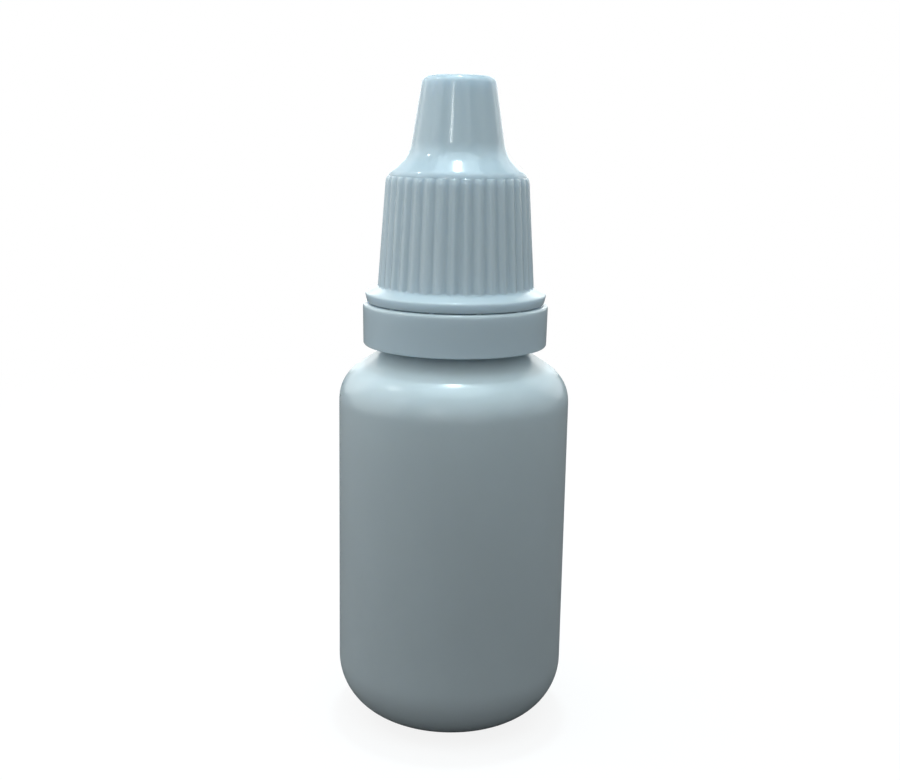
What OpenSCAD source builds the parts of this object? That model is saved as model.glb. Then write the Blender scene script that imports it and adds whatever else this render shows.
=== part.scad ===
// Squeeze dropper bottle for eye drops: a blow-moulded bottle, a dropper insert pressed into its neck,
// a ribbed screw cap with a sealing pin, and the tamper ring that stays on the neck when the cap comes off.
// Millimetres, standing on z = 0 with the axis of every piece on Z.

/* [Bottle] */
// Outside diameter of the body
body_d = 22.6; // [20:0.1:26]
// Thickness of the body's wall
body_wall = 0.8; // [0.5:0.05:1.1]
// Height at which the sloping shoulder meets the neck
shoulder_h = 37.75; // [30:0.05:50]
// Slope of the shoulder, in degrees from the horizontal
shoulder_slope = 33; // [24:1:40]
// Radius where the wall rounds into the shoulder
shoulder_radius = 4.2; // [2.5:0.1:4.8]
// Radius where the wall rounds into the base
base_radius = 5.8; // [4:0.1:6]
// Height of the hollow under the base
base_hollow = 1.0; // [0.5:0.1:1.5]
// Radius of the level middle of that hollow
hollow_radius = 3.2; // [2:0.1:3.8]
// Width of the sloping side of that hollow
hollow_slope_w = 1.9; // [1.2:0.1:2]

/* [Neck] */
// Outside diameter of the neck at the root of its thread
neck_d = 10.9; // [10:0.1:12]
// Thickness of the neck's wall
neck_wall = 1.15; // [0.8:0.05:1.4]
// How far the plain collar under the bead stands out from the neck
collar_step = 0.85; // [0.4:0.05:1.1]
// Height of the collar between the shoulder and the bead
collar_h = 1.65; // [1.5:0.05:3]
// How far the bead that holds the tamper ring stands out from the neck
bead_step = 1.9; // [1.6:0.05:2.4]
// Height of the bead's upright face
bead_face_h = 0.45; // [0.3:0.05:0.7]
// Height of the bead's sloping top
bead_slope_h = 1.05; // [0.7:0.05:1.4]

/* [Thread] */
// Rise of the thread in one turn
thread_pitch = 2.1; // [1.9:0.05:2.4]
// Height of the thread's ridge above its root
thread_depth = 0.55; // [0.4:0.05:0.7]
// Width of a ridge at its root
thread_root_w = 1.15; // [0.9:0.05:1.2]
// Width of a ridge at its crest
thread_crest_w = 0.55; // [0.4:0.05:0.65]
// Length of the ridge on the neck, in turns
neck_turns = 1.5; // [1.25:0.05:2]
// Length of the ridge in the cap, in turns
cap_turns = 1.25; // [1:0.05:1.75]
// Radial clearance between the two threads
thread_clear = 0.12; // [0.08:0.01:0.2]
// Height at which the neck's thread starts above the cap's lower edge
thread_start = 1.4; // [1.2:0.05:1.6]

/* [Dropper insert] */
// Thickness of the flange that lies on the neck's rim
insert_flange_t = 1.0; // [0.6:0.1:1.5]
// Length of the plug inside the neck
plug_l = 5.4; // [4:0.1:8]
// Thickness of the plug's wall
plug_wall = 0.8; // [0.5:0.05:1]
// Radial clearance between the plug and the neck's bore
plug_clear = 0.05; // [0.02:0.01:0.1]
// Height of the plug's narrowed lower end
plug_lead_h = 0.9; // [0.6:0.1:1.2]
// How far that end narrows, at the radius
plug_lead_w = 0.45; // [0.3:0.05:0.5]
// Distance of the upper sealing bead below the neck's rim
seal_depth = 1.5; // [1:0.1:1.8]
// Distance between the two sealing beads
seal_spacing = 1.8; // [1.4:0.1:2]
// Radius of a sealing bead
seal_radius = 0.35; // [0.25:0.05:0.4]
// How far each sealing bead presses into the bore
seal_press = 0.06; // [0.03:0.01:0.1]
// Height of the nozzle above the flange
nozzle_h = 8.1; // [6:0.1:10]
// Diameter of the nozzle at its root
nozzle_root_d = 6.2; // [5.6:0.1:6.6]
// Diameter of the nozzle at its tip
nozzle_tip_d = 3.8; // [3.4:0.1:4.2]
// Thickness of the nozzle's wall at its root
nozzle_wall = 1.0; // [0.7:0.05:1.3]
// Diameter of the hole that forms the drop
orifice_d = 0.5; // [0.4:0.05:0.8]
// Length of that hole
orifice_l = 0.7; // [0.4:0.1:1.2]
// Diameter of the cup that the drop hangs from
cup_d = 2.1; // [1.8:0.1:2.4]
// Depth of that cup
cup_depth = 1.2; // [0.8:0.1:1.6]

/* [Cap] */
// Height of the cap's lower edge above the neck's bead
cap_rise = 1.1; // [1:0.05:1.4]
// Depth of the socket from the cap's lower edge to its stop
socket_depth = 11.3; // [10.5:0.1:14]
// Widening of the socket at its mouth, as a lead-in for the neck
socket_lead = 0.5; // [0.3:0.05:0.6]
// Thickness of the wall between the ribs and the socket
cap_wall = 0.87; // [0.7:0.01:1.2]
// Taper of the ribbed side, in degrees
skirt_draft = 3.9; // [2:0.1:5]
// Height of the flange's upright edge
flange_edge_h = 0.92; // [0.5:0.02:1.2]
// Height of the flange's sloping top
flange_slope_h = 0.68; // [0.5:0.02:1.1]
// Number of grip ribs
rib_count = 36; // [24:1:40]
// Angle of the first rib round the cap, in degrees
rib_start = 7.2; // [0:0.2:10]
// Radius of a rib's rounded crest
rib_radius = 0.5; // [0.4:0.05:0.55]
// How far a rib stands out from the side
rib_h = 0.3; // [0.2:0.05:0.4]
// Radius of the curve at a rib's top end
rib_end_radius = 0.6; // [0.4:0.05:0.7]
// How far below the cap's shoulder the ribs end
rib_top_drop = 0.35; // [0.25:0.05:0.5]
// Height of the cap's shoulder above the stop
shoulder_rise = 1.1; // [0.9:0.05:1.4]
// Radius of the cap's shoulder
cap_shoulder_radius = 0.9; // [0.6:0.05:1.1]
// Slope of the flare from the shoulder into the nose, in degrees from the axis
flare_slope = 48; // [42:1:54]
// Diameter at the foot of the nose
nose_foot_d = 9.14; // [8.6:0.02:9.8]
// Diameter at the top of the nose, before its edge is rounded
nose_top_d = 6.9; // [6.2:0.05:7.6]
// Thickness of the nose's wall
nose_wall = 0.95; // [0.7:0.05:1.1]
// Thickness of the nose's top
nose_top_wall = 1.1; // [0.8:0.05:1.6]
// Radius of the curve from the shoulder of the cap into its nose
nose_foot_radius = 2.8; // [1.5:0.1:3.2]
// Radius of the nose's top edge
nose_edge_radius = 0.75; // [0.4:0.05:0.9]

/* [Tamper ring] */
// Height of the ring
ring_h = 4.0; // [3.4:0.05:4.2]
// Thickness of the ring's wall
ring_wall = 1.3; // [0.9:0.05:1.5]
// Gap between the ring and the cap's flange
ring_gap = 0.15; // [0.15:0.01:0.6]
// How far the ring stands out past the flange
ring_overhang = 0.1; // [0:0.02:0.2]
// How far the ring's side draws in towards its lower edge
ring_draft = 0.06; // [0:0.02:0.1]
// Number of holding tongues inside the ring
tongue_count = 8; // [6:1:12]
// Width of the slot between two tongues
tongue_slot = 0.9; // [0.6:0.1:1.4]
// Height of a tongue at the ring's wall
tongue_h = 1.1; // [0.8:0.05:1.4]
// Height of a tongue's inner edge
tongue_edge_h = 0.35; // [0.25:0.05:0.5]
// Number of snapped bridges on top of the ring
bridge_count = 12; // [8:1:16]
// Diameter of a bridge at its foot
bridge_foot_d = 0.72; // [0.5:0.02:0.9]
// Diameter of a bridge where it has snapped
bridge_tip_d = 0.4; // [0.3:0.02:0.5]

/* [Hidden] */

$fn = 96;

// Running clearance between the ring and the neck, and between the ring and the cap
ring_clear = 0.3;
// Clearance between the cap's stop and the insert's flange, and between pin and cup
seat_clear = 0.1;
// Clearance between a snapped bridge and the cap's flange
bridge_clear = 0.05;
// Free height between the nozzle's tip and the inside of the nose
tip_room = 1.0;
// Radii of the moulded edges, and of the curves where two faces meet
fine_edge = 0.12;
soft_edge = 0.25;
small_curve = 0.6;
large_curve = 1.4;
// How deep joined forms reach into each other, so that they fuse
sink = 0.15;
// How far a cutting form reaches past what it cuts
past = 1;

// Radii, from the axis outwards
body_r = body_d / 2;
neck_r = neck_d / 2;
bore_r = neck_r - neck_wall;
collar_r = neck_r + collar_step;
bead_r = neck_r + bead_step;
thread_r = neck_r + thread_depth;
socket_r = thread_r + thread_clear;
upper_socket_r = neck_r + ring_clear;
ring_in_r = bead_r + ring_clear;
ring_r = ring_in_r + ring_wall;
flange_r = ring_r - ring_overhang;

// Heights, from the base upwards
bead_z = shoulder_h + collar_h;
cap_z = bead_z + bead_face_h + bead_slope_h + cap_rise;
stop_z = cap_z + socket_depth;
insert_top_z = stop_z - seat_clear;
rim_z = insert_top_z - insert_flange_t;
tip_z = insert_top_z + nozzle_h;
cap_top_z = tip_z + tip_room + nose_top_wall;
ring_top_z = cap_z - ring_gap;
neck_thread_z = cap_z + thread_start;

// Height of the shoulder's slope at a distance r from the axis
function shoulder_z(r) = shoulder_h - (r - collar_r) * tan(shoulder_slope);

// The cap's side between the ribs is a cone that narrows upwards to the cap's shoulder
cap_shoulder_z = stop_z + shoulder_rise;
cap_shoulder_r = upper_socket_r + cap_wall;
function side_r(z) = cap_shoulder_r + (cap_shoulder_z - z) * tan(skirt_draft);
nose_foot_z = cap_shoulder_z + (cap_shoulder_r - nose_foot_d / 2) / tan(flare_slope);
flange_top_z = cap_z + flange_edge_h + flange_slope_h;
rib_top_z = cap_shoulder_z - rib_top_drop;

// Rounded outlines
// A corner is [x, y, radius], and an outline lists its corners in order round the shape.

function unit(v) = v / norm(v);

// Degrees between two points of an arc: large arcs are drawn finer
function arc_step(radius) = radius < 0.3 ? 30 : radius < 2 ? 15 : 6;

// The points that round corner q between its neighbours p and n, from one tangent point to the other
function rounding(p, q, n) =
    let (
        at = [q.x, q.y],
        back = unit([p.x, p.y] - at),
        ahead = unit([n.x, n.y] - at),
        half = acos(back * ahead) / 2,
        centre = at + unit(back + ahead) * q.z / sin(half),
        first = at + back * q.z / tan(half) - centre,
        turn = (180 - 2 * half) * sign(cross(ahead, back)),
        steps = ceil(abs(turn) / arc_step(q.z))
    )
    [for (i = [0 : steps])
        let (a = turn * i / steps)
        centre + [first.x * cos(a) - first.y * sin(a), first.x * sin(a) + first.y * cos(a)]];

function rounded(corners) =
    let (n = len(corners))
    [for (i = [0 : n - 1])
        let (q = corners[i])
        each q.z > 0 ? rounding(corners[(i + n - 1) % n], q, corners[(i + 1) % n]) : [[q.x, q.y]]];

module outline(corners) {
    polygon(rounded(corners));
}

// Threads

// A ridge that climbs a right-hand helix from z = 0 at angle 0, and fades in and out at its ends.
// It stands on the radius root and its crest is at the radius crest, outside or inside it.
module thread_ridge(root, crest, turns) {
    steps_per_turn = 48;
    fade_steps = 6;
    side = sign(crest - root);
    steps = round(turns * steps_per_turn);
    points = [
        for (i = [0 : steps])
            let (
                a = 360 * i / steps_per_turn,
                z = thread_pitch * i / steps_per_turn,
                full = min(1, i / fade_steps, (steps - i) / fade_steps),
                top = root + (crest - root) * full - side * (1 - full) * sink / 2
            )
            each [
                for (p = [[root - side * sink, -thread_root_w / 2], [top, -thread_crest_w / 2],
                          [top, thread_crest_w / 2], [root - side * sink, thread_root_w / 2]])
                    [p[0] * cos(a), p[0] * sin(a), z + p[1]]
            ]
    ];
    sides = [
        for (i = [0 : steps - 1], j = [0 : 3])
            let (a = 4 * i + j, b = 4 * i + (j + 1) % 4)
            each [[a, b, b + 4], [a, b + 4, a + 4]]
    ];
    foot = 4 * steps;
    ends = [[2, 1, 0], [3, 2, 0], [foot, foot + 1, foot + 2], [foot, foot + 2, foot + 3]];
    faces = concat(sides, ends);
    polyhedron(points, side > 0 ? faces : [for (f = faces) [f[2], f[1], f[0]]]);
}

// Bottle

module bottle_outline() {
    outline([
        [0, base_hollow, 0],
        [hollow_radius, base_hollow, large_curve],
        [hollow_radius + hollow_slope_w, 0, small_curve],
        [body_r, 0, base_radius],
        [body_r, shoulder_z(body_r), shoulder_radius],
        [collar_r, shoulder_h, small_curve],
        [collar_r, bead_z, fine_edge],
        [bead_r, bead_z, fine_edge],
        [bead_r, bead_z + bead_face_h, fine_edge],
        [neck_r, bead_z + bead_face_h + bead_slope_h, soft_edge],
        [neck_r, rim_z, fine_edge],
        [0, rim_z, 0],
    ]);
}

// The wall keeps its thickness along the shoulder's slope, and the neck's bore is straight
module bottle_hollow_outline() {
    inner_r = body_r - body_wall;
    slope_drop = body_wall / cos(shoulder_slope);
    outline([
        [0, base_hollow + body_wall, 0],
        [hollow_radius, base_hollow + body_wall, large_curve],
        [hollow_radius + hollow_slope_w, body_wall, large_curve],
        [inner_r, body_wall, base_radius - body_wall],
        [inner_r, shoulder_z(inner_r) - slope_drop, shoulder_radius - body_wall],
        [bore_r, shoulder_z(bore_r) - slope_drop, large_curve],
        [bore_r, rim_z + past, 0],
        [0, rim_z + past, 0],
    ]);
}

module bottle() {
    color("white")
    union() {
        rotate_extrude()
            difference() {
                bottle_outline();
                bottle_hollow_outline();
            }
        translate([0, 0, neck_thread_z])
            thread_ridge(neck_r, thread_r, neck_turns);
    }
}

// Dropper insert

plug_r = bore_r - plug_clear;
plug_z = rim_z - plug_l;
plug_bore_r = plug_r - plug_wall;
cup_z = tip_z - cup_depth;
web_z = cup_z - orifice_l;

module insert_outline() {
    outline([
        [0, plug_z, 0],
        [plug_r - plug_lead_w, plug_z, fine_edge],
        [plug_r, plug_z + plug_lead_h, soft_edge],
        [plug_r, rim_z, 0],
        [neck_r - plug_clear, rim_z, fine_edge],
        [neck_r - plug_clear, insert_top_z, soft_edge],
        [nozzle_root_d / 2, insert_top_z, small_curve],
        [nozzle_tip_d / 2, tip_z, soft_edge],
        [0, tip_z, 0],
    ]);
}

// The plug's bore narrows into the nozzle's, from just below the flange to just above it
module insert_bore_outline() {
    taper_past = 0.6;
    outline([
        [0, plug_z - past, 0],
        [plug_bore_r, plug_z - past, 0],
        [plug_bore_r, rim_z - taper_past, small_curve],
        [nozzle_root_d / 2 - nozzle_wall, insert_top_z + taper_past, small_curve],
        [cup_d / 2, web_z, soft_edge],
        [orifice_d / 2, web_z, 0],
        [orifice_d / 2, cup_z, 0],
        [cup_d / 2, tip_z, 0],
        [cup_d / 2, tip_z + past, 0],
        [0, tip_z + past, 0],
    ]);
}

module dropper_insert() {
    color("ghostwhite")
    rotate_extrude()
        difference() {
            union() {
                insert_outline();
                for (i = [0, 1])
                    translate([bore_r + seal_press - seal_radius, rim_z - seal_depth - i * seal_spacing])
                        circle(seal_radius);
            }
            insert_bore_outline();
        }
}

// Cap

module cap_outline() {
    outline([
        [0, cap_z, 0],
        [flange_r, cap_z, fine_edge],
        [flange_r, cap_z + flange_edge_h, fine_edge],
        [side_r(flange_top_z), flange_top_z, soft_edge],
        [cap_shoulder_r, cap_shoulder_z, cap_shoulder_radius],
        [nose_foot_d / 2, nose_foot_z, nose_foot_radius],
        [nose_top_d / 2, cap_top_z, nose_edge_radius],
        [0, cap_top_z, 0],
    ]);
}

// The socket for the neck, a stop that lands on the insert's flange, and the room for the nozzle
module cap_hollow_outline() {
    thread_end_z = neck_thread_z + thread_pitch * (0.5 + cap_turns) + thread_root_w;
    socket_step_h = 0.8;
    stop_w = 1;
    stop_r = upper_socket_r - stop_w;
    flare_drop = 1.05;
    flare_end_z = nose_foot_z - 0.35;
    nose_top_in_r = nose_top_d / 2 - nose_wall;
    nose_foot_in_r = nose_foot_d / 2 - nose_wall;
    outline([
        [0, cap_z - past, 0],
        [socket_r + socket_lead, cap_z - past, 0],
        [socket_r + socket_lead, cap_z, 0],
        [socket_r, cap_z + socket_lead, 0],
        [socket_r, thread_end_z, 0],
        [upper_socket_r, thread_end_z + socket_step_h, 0],
        [upper_socket_r, stop_z, fine_edge],
        [stop_r, stop_z, fine_edge],
        [stop_r, flare_end_z - flare_drop, 0],
        [nose_foot_in_r, flare_end_z, large_curve],
        [nose_top_in_r, cap_top_z - nose_top_wall, soft_edge],
        [0, cap_top_z - nose_top_wall, 0],
    ]);
}

// The pin closes the drop hole, and follows the cup's cone at the same clearance all the way
module pin_outline() {
    cup_flare = (cup_d - orifice_d) / 2 / cup_depth;
    pin_z = cup_z + 2 * seat_clear;
    pin_r = orifice_d / 2;
    outline([
        [0, pin_z, 0],
        [pin_r - seat_clear / 2, pin_z, 0.08],
        [pin_r + (tip_z - pin_z) * cup_flare - seat_clear / 2, tip_z, soft_edge],
        [cup_d / 2, cap_top_z - nose_top_wall + sink, 0],
        [0, cap_top_z - nose_top_wall + sink, 0],
    ]);
}

// Round bars that lean with the side, from inside the flange to a rounded end under the shoulder
module ribs() {
    crest_top_r = side_r(rib_top_z) + rib_h;
    end_swell = 0.06;
    foot_z = flange_top_z - flange_slope_h;
    rib_l = (rib_top_z - foot_z + past) / cos(skirt_draft);
    intersection() {
        rotate_extrude()
            outline([
                [side_r(foot_z) - past, foot_z + sink, 0],
                [side_r(foot_z) + past, foot_z + sink, 0],
                [crest_top_r + end_swell, rib_top_z, rib_end_radius],
                [crest_top_r - past, rib_top_z, 0],
            ]);
        for (i = [0 : rib_count - 1])
            rotate([0, 0, rib_start + i * 360 / rib_count])
                translate([side_r(foot_z) + rib_h - rib_radius, 0, foot_z])
                    rotate([0, -skirt_draft, 0])
                        cylinder(h = rib_l, r = rib_radius, $fn = 32);
    }
}

module cap() {
    color("azure")
    union() {
        rotate_extrude() {
            difference() {
                cap_outline();
                cap_hollow_outline();
            }
            pin_outline();
        }
        ribs();
        translate([0, 0, neck_thread_z + thread_pitch / 2])
            thread_ridge(socket_r, neck_r + thread_clear, cap_turns);
    }
}

// Tamper ring

module ring_outline() {
    ring_z = ring_top_z - ring_h;
    outline([
        [ring_in_r, ring_z, fine_edge],
        [ring_r - ring_draft, ring_z, soft_edge],
        [ring_r, ring_top_z, soft_edge],
        [ring_in_r, ring_top_z, fine_edge],
    ]);
}

// Barb that snaps under the neck's bead
module tongue_outline() {
    tongue_top_z = bead_z - ring_clear;
    tongue_r = collar_r + ring_clear + seat_clear;
    outline([
        [ring_in_r + sink, tongue_top_z - tongue_h, 0],
        [ring_in_r + sink, tongue_top_z, 0],
        [tongue_r, tongue_top_z, fine_edge],
        [tongue_r, tongue_top_z - tongue_edge_h, fine_edge],
    ]);
}

module tongues() {
    slot_reach = ring_in_r - sink / 3;
    difference() {
        rotate_extrude() tongue_outline();
        for (i = [0 : tongue_count - 1])
            rotate([0, 0, i * 360 / tongue_count])
                translate([0, -tongue_slot / 2, ring_top_z - ring_h - past])
                    cube([slot_reach, tongue_slot, ring_h + 2 * past]);
    }
}

module bridges() {
    bridge_h = ring_gap - bridge_clear;
    for (i = [0 : bridge_count - 1])
        rotate([0, 0, (i + 0.5) * 360 / bridge_count])
            translate([ring_in_r + ring_wall / 2, 0, ring_top_z - sink])
                cylinder(h = bridge_h + sink, d1 = bridge_foot_d, d2 = bridge_tip_d, $fn = 32);
}

module tamper_ring() {
    color("lightcyan")
    union() {
        rotate_extrude() ring_outline();
        tongues();
        bridges();
    }
}

bottle();
dropper_insert();
cap();
tamper_ring();
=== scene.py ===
# %% [markdown]
# # A squeeze dropper bottle for eye drops
# The real object is four plastic pieces: a blow-moulded bottle, a dropper plug pressed into its
# neck, a ribbed screw cap, and the tamper ring that snapped off the cap and stays on the neck. The
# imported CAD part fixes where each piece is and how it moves. This lesson models each piece again
# with the smooth curves, ribs and moulding marks of the real one, and gives it a plastic that
# looks right close up.

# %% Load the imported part
from math import acos, cos, pi, radians, sin, sqrt, tan

import bmesh
import bpy
from mathutils import Matrix, Vector


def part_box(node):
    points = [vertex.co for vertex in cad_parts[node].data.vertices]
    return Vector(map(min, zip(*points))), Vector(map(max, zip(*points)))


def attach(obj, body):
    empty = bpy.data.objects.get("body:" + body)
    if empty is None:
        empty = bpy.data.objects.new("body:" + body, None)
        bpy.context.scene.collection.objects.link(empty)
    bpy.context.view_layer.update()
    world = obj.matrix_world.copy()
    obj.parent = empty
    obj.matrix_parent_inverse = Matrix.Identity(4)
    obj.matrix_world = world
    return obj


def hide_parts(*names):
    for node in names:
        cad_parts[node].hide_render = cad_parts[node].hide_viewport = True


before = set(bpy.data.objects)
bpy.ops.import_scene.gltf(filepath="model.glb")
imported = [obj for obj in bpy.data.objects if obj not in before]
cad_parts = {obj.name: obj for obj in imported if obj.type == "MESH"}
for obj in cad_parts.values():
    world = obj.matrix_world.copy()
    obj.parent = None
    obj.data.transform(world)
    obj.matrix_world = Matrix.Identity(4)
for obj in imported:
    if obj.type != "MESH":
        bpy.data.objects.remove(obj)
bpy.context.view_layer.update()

MM = 0.001

# %% [markdown]
# ## Camera first
# The photograph looks at the bottle from close by and a little above, so the body narrows towards
# its base. A camera that stands in the same place gives the same curves on the flange and the
# shoulder, which a longer lens from further away would flatten. The picture leans one degree to
# the side, and so does the camera.

# %% Camera
CAMERA_PLACE = Vector((0.0, -120.0, 58.0)) * MM
LOOKS_DOWN = radians(11.685)
LOOKS_LEFT = radians(0.184)
LEANS = radians(0.966)
LENS_MM, SENSOR_MM = 49.52, 36.0
NEAREST, FURTHEST = 10 * MM, 20.0

camera = bpy.data.objects.new("photo_camera", bpy.data.cameras.new("photo_camera"))
bpy.context.scene.collection.objects.link(camera)
bpy.context.scene.camera = camera
camera.data.sensor_width = SENSOR_MM
camera.data.lens = LENS_MM
camera.data.clip_start = NEAREST
camera.data.clip_end = FURTHEST
camera.matrix_world = (
    Matrix.Translation(CAMERA_PLACE)
    @ Matrix.Rotation(LOOKS_LEFT, 4, "Z")
    @ Matrix.Rotation(pi / 2 - LOOKS_DOWN, 4, "X")
    @ Matrix.Rotation(LEANS, 4, "Z")
)
print("the camera stands at", [round(v / MM) for v in camera.matrix_world.translation], "mm")

# %% [markdown]
# ## Drawing an outline and turning it round
# Every piece of this object was turned from an outline: the mould of each was cut on a lathe. So
# the modelling starts with one point, which is extruded along the straight runs and spun about a
# centre where a corner is rounded. The finished line is then spun once round the axis. A cylinder
# primitive with bevels could give the same form, but an outline keeps every radius exact, and it
# is easy to set beside the photograph.

# %% The first point and the rounded corners
def start_point(name, r, z):
    """A new mesh object with a single point, in edit mode: a plane merged at its centre."""
    bpy.ops.object.select_all(action="DESELECT")
    bpy.ops.mesh.primitive_plane_add(size=MM, location=(r * MM, 0, z * MM))
    obj = bpy.context.object
    obj.name = obj.data.name = name
    bpy.ops.object.transform_apply(location=True)
    bpy.ops.object.mode_set(mode="EDIT")
    bpy.ops.mesh.select_all(action="SELECT")
    bpy.ops.mesh.merge(type="CENTER")
    return obj


def rounding(before, corner, after):
    """Start, centre and turn of the arc that rounds a corner. Points are (r, z, radius) in mm."""
    at = Vector(corner[:2])
    back = (Vector(before[:2]) - at).normalized()
    ahead = (Vector(after[:2]) - at).normalized()
    half = acos(max(-1.0, min(1.0, back.dot(ahead)))) / 2
    start = at + back * corner[2] / tan(half)
    centre = at + (back + ahead).normalized() * corner[2] / sin(half)
    side = 1 if back.x * ahead.y - back.y * ahead.x > 0 else -1
    return start, centre, side * (pi - 2 * half)


# %% Straight runs and the whole outline
RING_INSET, RING_SPACING = 0.2, 1.25
NO_STEP = 1e-5
FEWEST_ARC_STEPS = 3


def extrude_run(step, rings):
    """Extrudes a straight run. A long one gets a ring near each end, to keep its shading flat."""
    length = step.length
    stops = [length]
    if rings and length > 3 * RING_INSET:
        middle = length - 2 * RING_INSET
        count = max(1, round(middle / RING_SPACING))
        stops = [RING_INSET + middle * i / count for i in range(count + 1)] + [length]
    done = 0.0
    for stop in stops:
        part = step * ((stop - done) / length * MM)
        bpy.ops.mesh.extrude_region_move(TRANSFORM_OT_translate={"value": (part.x, 0, part.y)})
        done = stop


def draw_outline(name, corners, closed=False, rings=True, arc_step=radians(6)):
    """Draws the corners in turn: straight runs are extruded, and rounded corners are spun."""
    count = len(corners)
    first = Vector(corners[0][:2])
    if corners[0][2] > 0:
        first = rounding(corners[-1], corners[0], corners[1])[0]
    obj = start_point(name, *first)
    here = first
    for i, corner in enumerate(corners):
        r, z, radius = corner
        if radius > 0:
            start, centre, turn = rounding(corners[i - 1], corner, corners[(i + 1) % count])
        else:
            start, turn = Vector((r, z)), 0
        step = start - here
        if step.length > NO_STEP:
            extrude_run(step, rings)
        here = start
        if turn:
            steps = max(FEWEST_ARC_STEPS, round(abs(turn) / arc_step))
            middle = (centre.x * MM, 0, centre.y * MM)
            bpy.ops.mesh.spin(steps=steps, angle=turn, center=middle, axis=(0, -1, 0))
            arm = here - centre
            here = centre + Matrix.Rotation(-turn, 2) @ arm
    if closed:
        extrude_run(first - here, rings)
        merge_doubles()
    return obj


# %% [markdown]
# With no mouse, points are chosen by their place, and the operators then act on what is chosen.
# Points that fall on each other are merged after every spin, so that seams and poles are closed.

# %% Choosing, merging and turning round
NEAR = 0.01
SAME_POINT = 0.0005 * MM


def choose(obj, wanted):
    """Selects the points whose place in mm and normal pass the test, and what joins them."""
    mesh = bmesh.from_edit_mesh(obj.data)
    mesh.select_mode = {"VERT"}
    for vert in mesh.verts:
        vert.select = bool(wanted(vert.co / MM, vert.normal))
    mesh.select_flush_mode()
    bmesh.update_edit_mesh(obj.data)
    return sum(vert.select for vert in mesh.verts)


def merge_doubles():
    """Merges the points that fall on each other."""
    bpy.ops.mesh.select_all(action="SELECT")
    bpy.ops.mesh.remove_doubles(threshold=SAME_POINT)


def turn_round(steps, angle=2 * pi):
    """Spins the whole outline about the axis, and closes the poles and the seam."""
    bpy.ops.mesh.select_all(action="SELECT")
    bpy.ops.mesh.spin(steps=steps, angle=angle, center=(0, 0, 0), axis=(0, 0, -1))
    merge_doubles()


def straight_out(angle):
    """The direction from the axis at that angle."""
    return Vector((cos(angle), sin(angle), 0))


def off_line(p, ahead):
    """How far a point is from the upright plane that the axis and the direction span."""
    return abs(p.x * ahead.y - p.y * ahead.x)


def close_end(obj, angle, between=lambda p: True):
    """Puts a face on the open end of a swept piece, which lies at that angle about the axis."""
    ahead = straight_out(angle)
    choose(obj, lambda p, n: off_line(p, ahead) < NEAR and p.dot(ahead) > 0 and between(p))
    bpy.ops.mesh.edge_face_add()


# %% Finishing, fusing and measuring a piece
SHARP_ANGLE = radians(35)


def leave_edit(obj):
    """Points the faces outwards, goes back to object mode and shades the piece."""
    bpy.ops.mesh.select_all(action="SELECT")
    bpy.ops.mesh.normals_make_consistent(inside=False)
    bpy.ops.object.mode_set(mode="OBJECT")
    bpy.ops.object.shade_smooth_by_angle(angle=SHARP_ANGLE)
    return obj


def apply_all(obj):
    """Applies the object's modifiers in order."""
    bpy.ops.object.select_all(action="DESELECT")
    obj.select_set(True)
    bpy.context.view_layer.objects.active = obj
    for modifier in list(obj.modifiers):
        bpy.ops.object.modifier_apply(modifier=modifier.name)


def fuse(obj, other):
    """Joins another solid to obj with a Boolean union, and removes the other."""
    union = obj.modifiers.new("union", "BOOLEAN")
    union.operation = "UNION"
    union.solver = "EXACT"
    union.object = other
    apply_all(obj)
    bpy.data.objects.remove(other)


def report(obj):
    """Prints a piece's size and triangles, and how many of its edges don't close."""
    corners = [Vector(c) for c in obj.bound_box]
    low = [round(min(c[i] for c in corners) / MM, 2) for i in range(3)]
    high = [round(max(c[i] for c in corners) / MM, 2) for i in range(3)]
    mesh = bmesh.new()
    mesh.from_mesh(obj.data)
    loose = sum(not edge.is_manifold for edge in mesh.edges)
    volume = mesh.calc_volume(signed=True) / MM ** 3
    mesh.free()
    faces = sum(len(p.vertices) - 2 for p in obj.data.polygons)
    print(f"{obj.name}: {low} to {high} mm, {volume:.0f} mm3,"
          f" {faces} triangles, {loose} open edges")


# %% [markdown]
# ## The sizes that fit together
# The CAD part says where each piece begins and ends, so those heights and radii are taken from its
# boxes. The rest are the mould's own radii, slopes and walls. Everything is in millimetres here
# and becomes metres when a point is placed.

# %% Shared sizes
def node_box(name):
    """The lowest and highest corner of a CAD node, in mm."""
    low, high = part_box(name)
    return low / MM, high / MM


bottle_high = node_box("bottle")[1]
cap_low, cap_high = node_box("cap")
ring_low, ring_high = node_box("tamper_ring")
plug_low, plug_high = node_box("dropper_insert")

FINE_EDGE, SOFT_EDGE, SMALL_CURVE, LARGE_CURVE = 0.12, 0.25, 0.6, 1.4
BOTTLE_STEPS, RING_STEPS, PLUG_STEPS = 144, 180, 128
BODY_R = bottle_high.x
RIM_Z = bottle_high.z
NECK_R, NECK_WALL, BODY_WALL = 5.45, 1.15, 0.8
BORE_R = NECK_R - NECK_WALL
THREAD_PITCH, THREAD_DEPTH, THREAD_CLEAR = 2.1, 0.55, 0.12
THREAD_ROOT_W, THREAD_CREST_W = 1.15, 0.55
CAP_Z, CAP_TOP_Z = cap_low.z, cap_high.z
NECK_THREAD_Z = CAP_Z + 1.4
STOP_Z = CAP_Z + 11.3
print(f"body radius {BODY_R:.2f}, rim at {RIM_Z:.2f}, cap from {CAP_Z:.2f} to {CAP_TOP_Z:.2f} mm")

# %% [markdown]
# ## The blow-moulded bottle
# A real bottle of this kind is blown from a soft tube inside a mould of two halves, so its wall
# has much the same thickness all over, its shoulder and base are generously round, and a fine line
# runs up each side where the halves met. The outline goes up the outside, over the rim and down
# the inside, which makes a true hollow wall.

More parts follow.
